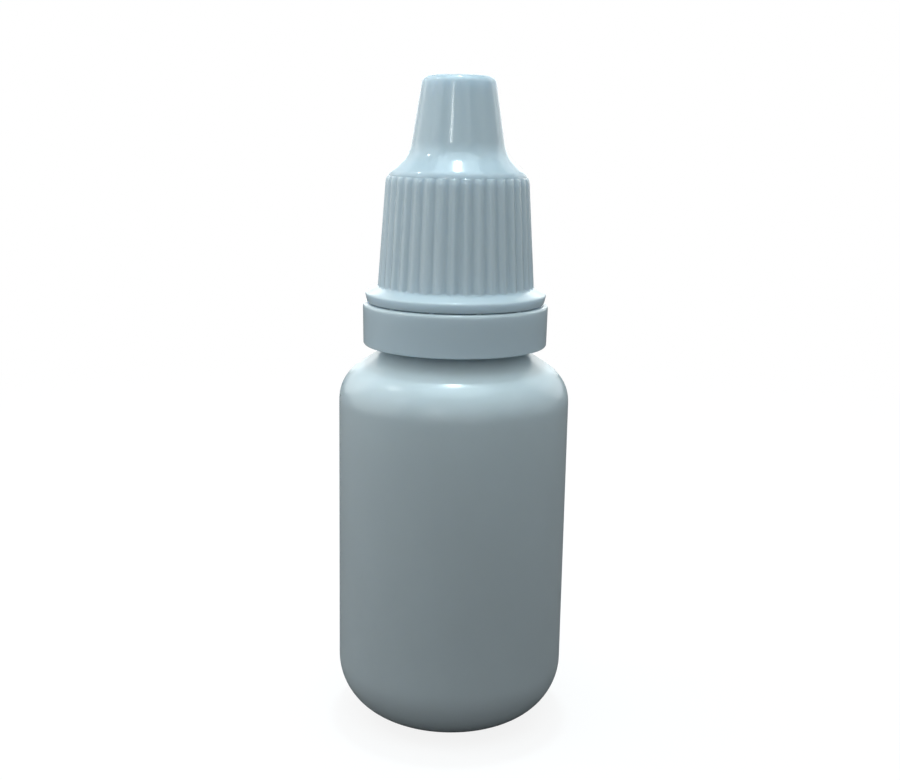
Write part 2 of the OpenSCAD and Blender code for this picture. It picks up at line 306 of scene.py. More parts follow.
# %% Bottle outline
SHOULDER_Z, SHOULDER_SLOPE, SHOULDER_RADIUS = 37.75, radians(33), 4.2
BASE_RADIUS, HOLLOW_H, HOLLOW_R, HOLLOW_RIM_R = 5.8, 1.0, 3.2, 5.1
COLLAR_R, BEAD_R, BEAD_Z = 6.3, 7.35, 39.4
BEAD_FACE_H, BEAD_SLOPE_H = 0.45, 1.05


def shoulder_z(r):
    """Height of the shoulder's straight slope at that radius."""
    return SHOULDER_Z - (r - COLLAR_R) * tan(SHOULDER_SLOPE)


inner_r = BODY_R - BODY_WALL
slope_drop = BODY_WALL / cos(SHOULDER_SLOPE)
bottle = draw_outline("moulded_bottle", [
    (0, HOLLOW_H, 0),
    (HOLLOW_R, HOLLOW_H, LARGE_CURVE),
    (HOLLOW_RIM_R, 0, SMALL_CURVE),
    (BODY_R, 0, BASE_RADIUS),
    (BODY_R, shoulder_z(BODY_R), SHOULDER_RADIUS),
    (COLLAR_R, SHOULDER_Z, SMALL_CURVE),
    (COLLAR_R, BEAD_Z, FINE_EDGE),
    (BEAD_R, BEAD_Z, FINE_EDGE),
    (BEAD_R, BEAD_Z + BEAD_FACE_H, FINE_EDGE),
    (NECK_R, BEAD_Z + BEAD_FACE_H + BEAD_SLOPE_H, SOFT_EDGE),
    (NECK_R, RIM_Z, FINE_EDGE),
    (BORE_R, RIM_Z, FINE_EDGE),
    (BORE_R, shoulder_z(BORE_R) - slope_drop, LARGE_CURVE),
    (inner_r, shoulder_z(inner_r) - slope_drop, SHOULDER_RADIUS - BODY_WALL),
    (inner_r, BODY_WALL, BASE_RADIUS - BODY_WALL),
    (HOLLOW_RIM_R, BODY_WALL, LARGE_CURVE),
    (HOLLOW_R, HOLLOW_H + BODY_WALL, LARGE_CURVE),
    (0, HOLLOW_H + BODY_WALL, 0),
], arc_step=radians(4))
turn_round(BOTTLE_STEPS)

# %% [markdown]
# The mould's marks are small, but they are what tells a moulded bottle from a turned one. Two cuts
# close to the parting plane give a narrow strip of faces to raise: a fine seam up each side, and
# on the base the pinch-off, the scar where the mould squeezed the tube shut.

# %% Parting line and pinch-off
SEAM_HALF_W, SEAM_H, SEAM_FROM_Z = 0.14, 0.035, 0.4
PINCH_HALF_W, PINCH_L, PINCH_H = 0.3, 2.9, 0.22
BODY_MIDDLE = Vector((0, 0, 18))
ON_CUT = 0.001


def on_parting_line(p, n):
    """Whether a point is on the outer wall between the two cuts beside the parting plane."""
    outside = n.dot(p - BODY_MIDDLE) > 0
    return (outside and abs(p.y) < ON_CUT and abs(p.x) > COLLAR_R
            and SEAM_FROM_Z < p.z < SHOULDER_Z - SMALL_CURVE)


for y in (-PINCH_HALF_W, -SEAM_HALF_W, SEAM_HALF_W, PINCH_HALF_W):
    bpy.ops.mesh.select_all(action="SELECT")
    bpy.ops.mesh.bisect(plane_co=(0, y * MM, 0), plane_no=(0, 1, 0))
bpy.ops.mesh.select_all(action="SELECT")
bpy.ops.mesh.normals_make_consistent(inside=False)
seam = choose(bottle, on_parting_line)
swell = 1 + SEAM_H / BODY_R
bpy.ops.transform.resize(value=(swell, 1, 1), center_override=(0, 0, 0))
for low_y, high_y, share in (
    (-1, SEAM_HALF_W + ON_CUT, 1),
    (SEAM_HALF_W + ON_CUT, PINCH_HALF_W - ON_CUT, 0.5),
):
    pinch = choose(bottle, lambda p, n: low_y < abs(p.y) < high_y and abs(p.x) < PINCH_L
                   and p.z < HOLLOW_H + NEAR and n.z < 0)
    bpy.ops.transform.translate(value=(0, 0, -PINCH_H * share * MM))
    print(f"{seam} points on the parting line, {pinch} on the pinch-off")
leave_edit(bottle)

# %% [markdown]
# ## Screw threads
# The neck's thread is one ridge that climbs one and a half turns, and it fades into the neck at
# both ends so that the cap finds its start. A Screw modifier sweeps the ridge's section along the
# helix. The first and last rings are then drawn in towards the neck, the two ends are closed with
# a face, and a Boolean union fuses the ridge to the neck, so that the bottle stays one closed
# solid. A ridge that is only pushed into the neck would look the same, but its hidden faces would
# spoil a 3-D print.

# %% Thread ridge
STEPS_PER_TURN, FADE_STEPS, SINK = 48, 6, 0.15


def thread_ridge(name, root, crest, turns, start_z):
    """A right-hand ridge from the root's radius to the crest's, which fades at both ends."""
    side = 1 if crest > root else -1
    foot = root - side * SINK
    obj = draw_outline(name, [
        (foot, start_z - THREAD_ROOT_W / 2, 0),
        (crest, start_z - THREAD_CREST_W / 2, 0),
        (crest, start_z + THREAD_CREST_W / 2, 0),
        (foot, start_z + THREAD_ROOT_W / 2, 0),
    ], closed=True, rings=False)
    bpy.ops.object.mode_set(mode="OBJECT")
    sweep = obj.modifiers.new("helix", "SCREW")
    sweep.axis = "Z"
    sweep.angle = 2 * pi * turns
    sweep.screw_offset = THREAD_PITCH * turns * MM
    steps = sweep.steps = sweep.render_steps = round(STEPS_PER_TURN * turns)
    apply_all(obj)
    bpy.ops.object.mode_set(mode="EDIT")
    for i in list(range(FADE_STEPS)) + list(range(steps - FADE_STEPS + 1, steps + 1)):
        full = min(i, steps - i) / FADE_STEPS
        angle = 2 * pi * i / STEPS_PER_TURN
        z = start_z + THREAD_PITCH * i / STEPS_PER_TURN
        ahead = straight_out(angle)
        choose(obj, lambda p, n: abs(p.z - z) < THREAD_CREST_W / 2 + NEAR
               and abs(p.dot(ahead) - crest) < NEAR)
        drawn_in = root - side * SINK / 2 * (1 - full) + (crest - root) * full
        share = drawn_in / crest
        bpy.ops.transform.resize(value=(share, share, 1), center_override=(0, 0, 0))
    for i in (0, steps):
        z = start_z + THREAD_PITCH * i / STEPS_PER_TURN
        close_end(obj, 2 * pi * i / STEPS_PER_TURN, lambda p: abs(p.z - z) < THREAD_ROOT_W)
    return leave_edit(obj)


NECK_TURNS, CAP_TURNS = 1.5, 1.25
neck_ridge = thread_ridge("neck_ridge", NECK_R, NECK_R + THREAD_DEPTH, NECK_TURNS, NECK_THREAD_Z)
report(neck_ridge)
fuse(bottle, neck_ridge)
report(bottle)

# %% [markdown]
# ## The ribbed cap
# Thirty-six ribs run up the cap's side, rounded at the top and run out into the flange. They are
# all alike, so only a slice of the cap with one rib is modelled: the outline is spun through ten
# degrees, and the slice's columns are moved out from the axis by the height of the rib there. An
# Array modifier with a turned empty then copies the slice all round. Displacing a finished cap
# with a texture would be quicker, but its rib ends and feet would be soft.

# %% Cap outline
FLANGE_R, FLANGE_EDGE_H, FLANGE_SLOPE_H = cap_high.x - 0.04, 0.92, 0.68
FLANGE_LIP, FLANGE_UNDERCUT = 0.18, 0.22
SIDE_DRAFT, CAP_WALL = radians(3.9), 0.87
UPPER_SOCKET_R = NECK_R + 0.3
SOCKET_R = NECK_R + THREAD_DEPTH + THREAD_CLEAR
LEAD_IN, SOCKET_CONE_H, STOP_W = 0.5, 0.8, 1
CAP_SHOULDER_Z, CAP_SHOULDER_R = STOP_Z + 1.1, UPPER_SOCKET_R + CAP_WALL
NOSE_FOOT_R, NOSE_TOP_R = 4.57, 3.45
NOSE_FOOT_Z = CAP_SHOULDER_Z + (CAP_SHOULDER_R - NOSE_FOOT_R) / tan(radians(48))
NOSE_WALL, NOSE_TOP_WALL, NOSE_CONE_H = 0.95, 1.1, 1.05
NOSE_EDGE, FLARE_CURVE, SHOULDER_CURVE = 0.75, 2.8, 0.9
FLANGE_TOP_Z = CAP_Z + FLANGE_EDGE_H + FLANGE_SLOPE_H
THREAD_END_Z = NECK_THREAD_Z + THREAD_PITCH * (0.5 + CAP_TURNS) + THREAD_ROOT_W
FLARE_END_Z = NOSE_FOOT_Z - 0.35
GATE_R, GATE_DEPTH, GATE_SIDE_W, NIB_R, NIB_H, NIB_SIDE_W = 0.85, 0.14, 0.12, 0.3, 0.08, 0.06
PIN_TIP_Z, CUP_RIM_Z = plug_high.z - 1.0, plug_high.z
PIN_ROOT_R, PIN_CUP_R, PIN_TIP_R = 1.05, 0.87, 0.2
NIB_EDGE, GATE_EDGE, TINY_EDGE = 0.05, 0.1, 0.08


def side_r(z):
    """Radius of the cap's drafted side in the grooves between the ribs."""
    return CAP_SHOULDER_R + (CAP_SHOULDER_Z - z) * tan(SIDE_DRAFT)


RIB_COUNT, RIB_H, RIB_STEPS, FIRST_RIB = 36, 0.22, 10, radians(7.2)
RIB_TOP_Z, RIB_END_L = CAP_SHOULDER_Z - 0.35, 0.6
GROOVE_FOOT_R = side_r(FLANGE_TOP_Z)
RIB_FOOT_R = GROOVE_FOOT_R + RIB_H + 0.2
slope_fall = FLANGE_SLOPE_H / (FLANGE_R - GROOVE_FOOT_R)
rib_end_rows = [RIB_TOP_Z - RIB_END_L * (1 - sin(radians(a))) for a in (0, 20, 40, 55, 70, 90)]

top = CAP_TOP_Z
cap = draw_outline("ribbed_cap", [
    (0, top - GATE_DEPTH + NIB_H, 0),
    (NIB_R, top - GATE_DEPTH + NIB_H, NIB_EDGE),
    (NIB_R + NIB_SIDE_W, top - GATE_DEPTH, 0),
    (GATE_R, top - GATE_DEPTH, GATE_EDGE),
    (GATE_R + GATE_SIDE_W, top, TINY_EDGE),
    (NOSE_TOP_R, top, NOSE_EDGE),
    (NOSE_FOOT_R, NOSE_FOOT_Z, FLARE_CURVE),
    (CAP_SHOULDER_R, CAP_SHOULDER_Z, SHOULDER_CURVE),
    *[(side_r(z), z, 0) for z in reversed(rib_end_rows)],
    (GROOVE_FOOT_R, FLANGE_TOP_Z, SOFT_EDGE),
    (RIB_FOOT_R, FLANGE_TOP_Z - (RIB_FOOT_R - GROOVE_FOOT_R) * slope_fall, 0),
    (FLANGE_R, CAP_Z + FLANGE_EDGE_H, FLANGE_LIP),
    (FLANGE_R - FLANGE_UNDERCUT, CAP_Z, FINE_EDGE),
    (SOCKET_R + LEAD_IN, CAP_Z, 0),
    (SOCKET_R, CAP_Z + LEAD_IN, 0),
    (SOCKET_R, THREAD_END_Z, 0),
    (UPPER_SOCKET_R, THREAD_END_Z + SOCKET_CONE_H, 0),
    (UPPER_SOCKET_R, STOP_Z, FINE_EDGE),
    (UPPER_SOCKET_R - STOP_W, STOP_Z, FINE_EDGE),
    (UPPER_SOCKET_R - STOP_W, FLARE_END_Z - NOSE_CONE_H, 0),
    (NOSE_FOOT_R - NOSE_WALL, FLARE_END_Z, LARGE_CURVE),
    (NOSE_TOP_R - NOSE_WALL, top - NOSE_TOP_WALL, SOFT_EDGE),
    (PIN_ROOT_R, top - NOSE_TOP_WALL, 0),
    (PIN_CUP_R, CUP_RIM_Z, SOFT_EDGE),
    (PIN_TIP_R, PIN_TIP_Z, TINY_EDGE),
    (0, PIN_TIP_Z, 0),
], arc_step=radians(8))

# %% One rib in a slice of the cap
OUTER_SKIN, FOOT_FILLET_UP, FOOT_FILLET_DOWN, FOOT_SPARE = 0.3, 0.12, 0.15, 0.05
rib_foot_top = FLANGE_TOP_Z + FOOT_FILLET_UP
slice_angle = 2 * pi / RIB_COUNT
turn_round(RIB_STEPS, slice_angle)


def rib_height(share):
    """Share of the rib's height, 1 at its crest and 0 in the groove: round, with filleted sides."""
    return (1 - share ** 2) ** 2


for column in range(1, RIB_STEPS):
    ahead = straight_out(slice_angle * column / RIB_STEPS)
    height = RIB_H * rib_height(abs(2 * column / RIB_STEPS - 1))

    def in_column(p):
        """Whether a point of the outer skin is in the column that is being moved."""
        return off_line(p, ahead) < NEAR and p.dot(ahead) > side_r(p.z) - OUTER_SKIN

    choose(cap, lambda p, n: in_column(p) and rib_foot_top < p.z < rib_end_rows[0] + ON_CUT)
    bpy.ops.transform.translate(value=ahead * height * MM)
    choose(cap, lambda p, n: in_column(p) and p.dot(ahead) < RIB_FOOT_R - FOOT_SPARE
           and FLANGE_TOP_Z - FOOT_FILLET_DOWN < p.z <= rib_foot_top)
    bpy.ops.transform.translate(value=(ahead - Vector((0, 0, slope_fall))) * height * MM)
    for z in rib_end_rows[1:-1]:
        drop = sqrt(1 - ((z - rib_end_rows[0]) / RIB_END_L) ** 2)
        choose(cap, lambda p, n: in_column(p) and abs(p.z - z) < NEAR)
        bpy.ops.transform.translate(value=ahead * height * drop * MM)
leave_edit(cap)

# %% Thirty-six slices
turned = bpy.data.objects.new("one_rib_further", None)
bpy.context.scene.collection.objects.link(turned)
turned.rotation_euler.z = slice_angle
around = cap.modifiers.new("around", "ARRAY")
around.use_relative_offset = False
around.use_object_offset = True
around.offset_object = turned
around.count = RIB_COUNT
apply_all(cap)
bpy.data.objects.remove(turned)
cap.rotation_euler.z = FIRST_RIB - slice_angle / 2
bpy.ops.object.transform_apply(rotation=True)
bpy.ops.object.mode_set(mode="EDIT")
merge_doubles()
leave_edit(cap)
report(cap)

cap_ridge = thread_ridge("cap_ridge", SOCKET_R, NECK_R + THREAD_CLEAR, CAP_TURNS,
                         NECK_THREAD_Z + THREAD_PITCH / 2)
fuse(cap, cap_ridge)
report(cap)

# %% [markdown]
# ## The tamper ring
# The ring has barbed tongues inside that snap under the neck's bead, and on its top the stubs of
# the thin bridges that tore when the cap was first opened. One tongue and one stub are modelled
# and copied round, each copy with its own mesh, and a Boolean union fuses them to the ring.

# %% Ring and one tongue
RING_IN_R, RING_R, RING_DRAFT, RING_TOP_EDGE = 7.65, ring_high.x + 0.06, 0.06, 0.3
RING_Z, RING_TOP_Z = ring_low.z, CAP_Z - 0.09
TONGUE_COUNT, TONGUE_STEPS, TONGUE_SLOT, TONGUE_TOP_Z = 8, 12, 0.9, BEAD_Z - 0.3
TONGUE_R, TONGUE_ROOT_H, TONGUE_TIP_H = COLLAR_R + 0.4, 1.1, 0.35

ring = draw_outline("snap_ring", [
    (RING_IN_R, RING_Z, FINE_EDGE),
    (RING_R - RING_DRAFT, RING_Z, SOFT_EDGE),
    (RING_R, RING_TOP_Z, RING_TOP_EDGE),
    (RING_IN_R, RING_TOP_Z, FINE_EDGE),
], closed=True)
turn_round(RING_STEPS)
leave_edit(ring)

tongue = draw_outline("tongue", [
    (RING_IN_R + SINK, TONGUE_TOP_Z - TONGUE_ROOT_H, 0),
    (TONGUE_R, TONGUE_TOP_Z - TONGUE_TIP_H, FINE_EDGE),
    (TONGUE_R, TONGUE_TOP_Z, FINE_EDGE),
    (RING_IN_R + SINK, TONGUE_TOP_Z, 0),
], closed=True, rings=False, arc_step=radians(15))
slot_angle = TONGUE_SLOT / RING_IN_R
tongue_angle = 2 * pi / TONGUE_COUNT - slot_angle
turn_round(TONGUE_STEPS, tongue_angle)
for angle in (0, tongue_angle):
    close_end(tongue, angle)
leave_edit(tongue)
report(tongue)

# %% One snapped bridge
BRIDGE_COUNT, BRIDGE_FOOT_R, BRIDGE_TIP_R, BRIDGE_H = 12, 0.36, 0.2, 0.05
TEAR_INSET, TEAR_DEPTH, STUB_SIDES = 0.07, 0.03, 20
bpy.ops.object.select_all(action="DESELECT")
bpy.ops.mesh.primitive_cone_add(
    vertices=STUB_SIDES, radius1=BRIDGE_FOOT_R * MM, radius2=BRIDGE_TIP_R * MM,
    depth=(SINK + BRIDGE_H) * MM,
    location=((RING_IN_R + RING_R) / 2 * MM, 0, (RING_TOP_Z + (BRIDGE_H - SINK) / 2) * MM))
stub = bpy.context.object
stub.name = "bridge_stub"
bpy.ops.object.transform_apply(location=True)
bpy.ops.object.mode_set(mode="EDIT")
choose(stub, lambda p, n: p.z > RING_TOP_Z + BRIDGE_H / 2)
bpy.ops.mesh.inset(thickness=TEAR_INSET * MM)
bpy.ops.transform.translate(value=(0, 0, -TEAR_DEPTH * MM))
leave_edit(stub)
report(stub)


# %% Copies all round the ring
def copy_round(obj, count, start):
    """Copies the object round the axis from the starting angle, each copy with its own mesh."""
    copies = []
    for i in range(count):
        copy = obj.copy()
        copy.data = obj.data.copy()
        bpy.context.scene.collection.objects.link(copy)
        copy.data.transform(Matrix.Rotation(start + 2 * pi * i / count, 4, "Z"))
        copies.append(copy)
    bpy.data.objects.remove(obj)
    bpy.ops.object.select_all(action="DESELECT")
    for copy in copies:
        copy.select_set(True)
    bpy.context.view_layer.objects.active = copies[0]
    bpy.ops.object.join()
    return bpy.context.object


fuse(ring, copy_round(tongue, TONGUE_COUNT, slot_angle / 2))
fuse(ring, copy_round(stub, BRIDGE_COUNT, pi / BRIDGE_COUNT))
report(ring)

# %% [markdown]
# ## The dropper plug
# The plug is hidden under the cap, but it is what the drops come from. It is turned like the rest,
# from an outline that goes up its outside, down through the cup and the drop hole, and back down
# its bore.

# %% Plug outline
PLUG_R, PLUG_WALL, PLUG_Z = BORE_R - 0.05, 0.8, plug_low.z
PLUG_TAPER_W, PLUG_TAPER_H, PLUG_FLANGE_R, BORE_CONE_H = 0.45, 0.9, NECK_R - 0.05, 0.6
PLUG_TOP_Z, TIP_Z = STOP_Z - 0.1, plug_high.z
NOZZLE_ROOT_R, NOZZLE_TIP_R, NOZZLE_WALL = 3.1, 1.9, 1.0
CUP_R, CUP_DEPTH, CUP_EDGE, DROP_HOLE_R, DROP_HOLE_L = 1.05, 1.2, 0.06, 0.25, 0.7
SEAL_ROUNDING, SEAL_PRESS, SEAL_HALF_H, SEALS_BELOW_RIM = 0.175, 0.06, 0.27, (3.3, 1.5)
web_z = TIP_Z - CUP_DEPTH - DROP_HOLE_L
seals = []
for drop in SEALS_BELOW_RIM:
    seals += [
        (PLUG_R, RIM_Z - drop - SEAL_HALF_H, 0),
        (BORE_R + SEAL_PRESS, RIM_Z - drop, SEAL_ROUNDING),
        (PLUG_R, RIM_Z - drop + SEAL_HALF_H, 0),
    ]

plug = draw_outline("dropper_plug", [
    (PLUG_R - PLUG_WALL, PLUG_Z, 0),
    (PLUG_R - PLUG_TAPER_W, PLUG_Z, FINE_EDGE),
    (PLUG_R, PLUG_Z + PLUG_TAPER_H, SOFT_EDGE),
    *seals,
    (PLUG_R, RIM_Z, 0),
    (PLUG_FLANGE_R, RIM_Z, FINE_EDGE),
    (PLUG_FLANGE_R, PLUG_TOP_Z, SOFT_EDGE),
    (NOZZLE_ROOT_R, PLUG_TOP_Z, SMALL_CURVE),
    (NOZZLE_TIP_R, TIP_Z, SOFT_EDGE),
    (CUP_R, TIP_Z, CUP_EDGE),
    (DROP_HOLE_R, TIP_Z - CUP_DEPTH, 0),
    (DROP_HOLE_R, web_z, 0),
    (CUP_R, web_z, SOFT_EDGE),
    (NOZZLE_ROOT_R - NOZZLE_WALL, PLUG_TOP_Z + BORE_CONE_H, SMALL_CURVE),
    (PLUG_R - PLUG_WALL, RIM_Z - BORE_CONE_H, SMALL_CURVE),
], closed=True)
turn_round(PLUG_STEPS)
leave_edit(plug)
report(plug)

# %% [markdown]
# ## A skin for moulded polyethylene
# Polyethylene is never one flat colour. Light sinks a little way in, and the tone drifts at random.
# The colour is also painted darker and greyer lower down. This is painted shade for the light that
# falls off down the bottle, and on the bottle it starts just below the shoulder. The surface also
# carries the mould's fine grain, the soft tube's die lines and the scuffs of handling. One node
# group holds all of that with named inputs, and each plastic sets its own values. Separate nodes in
# each material would do as well, but a change would then be made three times. The depths are real
# ones in metres, so the bump stays at the right scale.

# %% Node helpers
def add_node(tree, kind, inputs=None, **settings):
    """Adds a node. An input that is given a socket is linked to it, and any other is set."""
    node = tree.nodes.new(kind)
    for name, value in settings.items():
        setattr(node, name, value)
    for name, value in (inputs or {}).items():
        if isinstance(value, bpy.types.NodeSocket):
            tree.links.new(value, node.inputs[name])
        else:
            node.inputs[name].default_value = value
    return node


def combine(tree, operation, a, b):
    """One step of arithmetic on two sockets or numbers."""
    return add_node(tree, "ShaderNodeMath", {0: a, 1: b}, operation=operation).outputs[0]


def noise(tree, place, stretch, scale, detail, roughness=0.5, distortion=0.0):
    """Noise about 0, from -0.5 to 0.5, whose pattern is stretched along the axes of the object."""
    mapped = add_node(tree, "ShaderNodeMapping", {"Vector": place, "Scale": stretch})
    found = add_node(tree, "ShaderNodeTexNoise", {
        "Vector": mapped.outputs["Vector"], "Scale": scale, "Detail": detail,
        "Roughness": roughness, "Distortion": distortion})
    return combine(tree, "SUBTRACT", found.outputs["Fac"], 0.5)


# %% The skin group's inputs and outputs
skin = bpy.data.node_groups.new("plastic_skin", "ShaderNodeTree")
# The second colour and the two heights set a painted shade, which darkens each plastic lower down.
for name, kind, default in (
    ("Colour", "NodeSocketColor", (0.8, 0.8, 0.8, 1)),
    ("Thin Wall Colour", "NodeSocketColor", (0.7, 0.7, 0.7, 1)),
    ("Thick Above", "NodeSocketFloat", 0.03),
    ("Thins By Half In", "NodeSocketFloat", 0.005),
    ("Roughness", "NodeSocketFloat", 0.3),
    ("Wave Depth", "NodeSocketFloat", 0.00001),
    ("Die Line Depth", "NodeSocketFloat", 0.0),
    ("Grain Depth", "NodeSocketFloat", 0.000001),
    ("Scuffs", "NodeSocketFloat", 0.2),
):
    skin.interface.new_socket(name=name, in_out="INPUT", socket_type=kind).default_value = default
for name, kind in (
    ("Colour", "NodeSocketColor"),
    ("Roughness", "NodeSocketFloat"),
    ("Height", "NodeSocketFloat"),
):
    skin.interface.new_socket(name=name, in_out="OUTPUT", socket_type=kind)
given = add_node(skin, "NodeGroupInput").outputs
place = add_node(skin, "ShaderNodeTexCoord").outputs["Object"]

# %% [markdown]
# Scales are in cells a metre, so 110 is a cloud of 9 mm and 5200 a grain of 0.2 mm. A stretch
# below 1 draws a pattern out upwards, the way that the soft tube was pulled.

# %% Patterns of the skin
SCUFFS_FROM, SCUFFS_TO = 0.1, 0.24
cloud = noise(skin, place, stretch=(1, 1, 0.6), scale=110, detail=3)
waves = noise(skin, place, stretch=(1, 1, 0.45), scale=260, detail=2)
die_lines = noise(skin, place, stretch=(1, 1, 0.015), scale=1400, detail=2)
grain = noise(skin, place, stretch=(1, 1, 1), scale=5200, detail=2, roughness=0.6)
scuff_field = noise(
    skin, place, stretch=(1, 1, 0.3), scale=1500, detail=3, roughness=0.65, distortion=0.6)
scuffs = add_node(skin, "ShaderNodeMapRange", {
    "Value": scuff_field, "From Min": SCUFFS_FROM, "From Max": SCUFFS_TO,
    "To Min": 0.0, "To Max": 1.0}).outputs["Result"]
scuffs = combine(skin, "MULTIPLY", scuffs, given["Scuffs"])

# %% Tone, height and shine from the patterns
FULL_SHADE_MIX, UNSHADED_MIX_LESS, CLOUD_TONE = 0.93, 0.86, 0.2
SCUFF_DULLS, CLOUD_DULLS = 0.12, 0.08
# Painted shade: above a set height the plastic keeps its own colour. Further down, a darker and
# greyer painted shade colour mixes in more with every step down. The cloud adds a random drift of
# tone on top.
up = add_node(skin, "ShaderNodeSeparateXYZ", {"Vector": place}).outputs["Z"]
below = combine(skin, "MAXIMUM", combine(skin, "SUBTRACT", given["Thick Above"], up), 0.0)
thickness = combine(skin, "POWER", 0.5, combine(skin, "DIVIDE", below, given["Thins By Half In"]))
tone = combine(skin, "ADD", FULL_SHADE_MIX, combine(skin, "MULTIPLY", cloud, CLOUD_TONE))
tone = combine(skin, "SUBTRACT", tone, combine(skin, "MULTIPLY", thickness, UNSHADED_MIX_LESS))
coloured = add_node(skin, "ShaderNodeMix", data_type="RGBA", blend_type="MIX", clamp_factor=True)
skin.links.new(tone, coloured.inputs[0])
skin.links.new(given["Colour"], coloured.inputs[6])
skin.links.new(given["Thin Wall Colour"], coloured.inputs[7])
height = combine(skin, "MULTIPLY", waves, given["Wave Depth"])
height = combine(skin, "ADD", height, combine(skin, "MULTIPLY", die_lines, given["Die Line Depth"]))
height = combine(skin, "ADD", height, combine(skin, "MULTIPLY", grain, given["Grain Depth"]))
shine = combine(skin, "ADD", given["Roughness"], combine(skin, "MULTIPLY", scuffs, SCUFF_DULLS))
shine = combine(skin, "ADD", shine, combine(skin, "MULTIPLY", cloud, CLOUD_DULLS))
put_out = add_node(skin, "NodeGroupOutput", {"Roughness": shine, "Height": height})
skin.links.new(coloured.outputs[2], put_out.inputs["Colour"])
print("the skin group has", len(skin.nodes), "nodes")

# %% [markdown]
# The bottle is soft, slightly cloudy polyethylene with a satin skin, and its die lines run up the
# body. The cap and the ring come from a polished mould in a harder grade, so they are bluer,
# smoother and glossier. The plug is left in the plastic's own milky colour.

# %% A polyethylene material
POLYETHYLENE_IOR, LIGHT_SPREAD = 1.51, (1.0, 1.0, 1.1)


def plastic(name, depth, weight, **finish):
    """Light sinks in by about depth, in metres. The finish sets the group's inputs by name."""
    material = bpy.data.materials.new(name)
    material.use_nodes = True
    tree = material.node_tree
    shader = tree.nodes["Principled BSDF"]
    surface = add_node(tree, "ShaderNodeGroup", node_tree=skin)
    for socket, value in finish.items():
        surface.inputs[socket.replace("_", " ").title()].default_value = value
    bump = add_node(tree, "ShaderNodeBump", {
        "Height": surface.outputs["Height"], "Strength": 1.0, "Distance": 1.0})
    tree.links.new(surface.outputs["Colour"], shader.inputs["Base Color"])
    tree.links.new(surface.outputs["Roughness"], shader.inputs["Roughness"])
    tree.links.new(bump.outputs["Normal"], shader.inputs["Normal"])
    shader.inputs["IOR"].default_value = POLYETHYLENE_IOR
    shader.inputs["Subsurface Weight"].default_value = weight
    shader.inputs["Subsurface Radius"].default_value = LIGHT_SPREAD
    shader.inputs["Subsurface Scale"].default_value = depth
    return material


# %% The three plastics
# Each plastic's second colour is painted shade, darker and greyer, and it takes over below the
# given height. On the bottle, that is from the shoulder down.
bottle_plastic = plastic(
    "squeezable_polyethylene", depth=0.0024, weight=0.85,
    colour=(0.64, 0.76, 0.835, 1), thin_wall_colour=(0.43, 0.48, 0.51, 1),
    thick_above=0.0365, thins_by_half_in=0.005, roughness=0.238,
    wave_depth=0.000016, die_line_depth=0.0000016, grain_depth=0.0000012, scuffs=0.12)
cap_plastic = plastic(
    "cap_polyethylene", depth=0.0020, weight=0.85,
    colour=(0.535, 0.65, 0.72, 1), thin_wall_colour=(0.54, 0.63, 0.685, 1),
    thick_above=0.064, thins_by_half_in=0.012, roughness=0.15,
    wave_depth=0.000006, grain_depth=0.0000008, scuffs=0.12)
plug_plastic = plastic(
    "natural_polyethylene", depth=0.002, weight=0.6,
    colour=(0.80, 0.80, 0.76, 1), thin_wall_colour=(0.74, 0.75, 0.72, 1),
    thick_above=0.062, thins_by_half_in=0.012, roughness=0.4,
    wave_depth=0.000004, grain_depth=0.000001, scuffs=0.12)

# %% Each piece on its body, in its plastic
for piece, body, node, slot, material in (
    (bottle, "bottle", "bottle", "bottle_plastic", bottle_plastic),
    (plug, "bottle", "dropper_insert", "insert_plastic", plug_plastic),
    (ring, "ring", "tamper_ring", "cap_plastic", cap_plastic),
    (cap, "cap", "cap", "cap_plastic", cap_plastic),
):
    piece.data.materials.clear()
    piece.data.materials.append(material)
    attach(piece, body)
    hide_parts(node)
    print(f"{piece.name} rides on {body} and stands for {node}")

# %% [markdown]
# ## Floor and light
# The floor is pale and catches a soft shadow. For camera rays it adds a little white of its own,
# and fades into the white world further out, so that no horizon shows and no extra light falls on
# the bottle. A brighter floor would be simpler, but it would light the bottle from below, and the
# photograph's bottle gets darker towards its base.

# %% Floor
FLOOR_SIZE, FLOOR_TONE, FLOOR_LIFT = 3.0, 0.14, 0.86
FADE_FROM, FADE_TO = 0.05, 0.20
WHITE = (1, 1, 1, 1)
bpy.ops.object.select_all(action="DESELECT")
bpy.ops.mesh.primitive_plane_add(size=FLOOR_SIZE)
floor = bpy.context.object
floor.name = "floor"
paper = bpy.data.materials.new("floor_paper")
paper.use_nodes = True
tree = paper.node_tree
tree.nodes.clear()
place = add_node(tree, "ShaderNodeTexCoord").outputs["Object"]
distance = add_node(tree, "ShaderNodeVectorMath", {0: place}, operation="LENGTH").outputs["Value"]
far = add_node(tree, "ShaderNodeMapRange", {
    "Value": distance, "From Min": FADE_FROM, "From Max": FADE_TO,
    "To Min": 0.0, "To Max": 1.0}, interpolation_type="SMOOTHSTEP").outputs["Result"]
rays = add_node(tree, "ShaderNodeLightPath").outputs
seen_far = combine(tree, "MULTIPLY", far, rays["Is Camera Ray"])
seen_lift = combine(tree, "MULTIPLY", rays["Is Camera Ray"], FLOOR_LIFT)
white = add_node(tree, "ShaderNodeEmission", {"Color": WHITE, "Strength": 1.0}).outputs[0]
lift = add_node(tree, "ShaderNodeEmission", {"Color": WHITE, "Strength": seen_lift}).outputs[0]
matt = add_node(tree, "ShaderNodeBsdfDiffuse", {
    "Color": (FLOOR_TONE, FLOOR_TONE, FLOOR_TONE, 1)}).outputs[0]
near = add_node(tree, "ShaderNodeAddShader", {0: matt, 1: lift}).outputs[0]
shown = add_node(tree, "ShaderNodeMixShader", {0: seen_far, 1: near, 2: white}).outputs[0]
add_node(tree, "ShaderNodeOutputMaterial", {"Surface": shown})
floor.data.materials.append(paper)

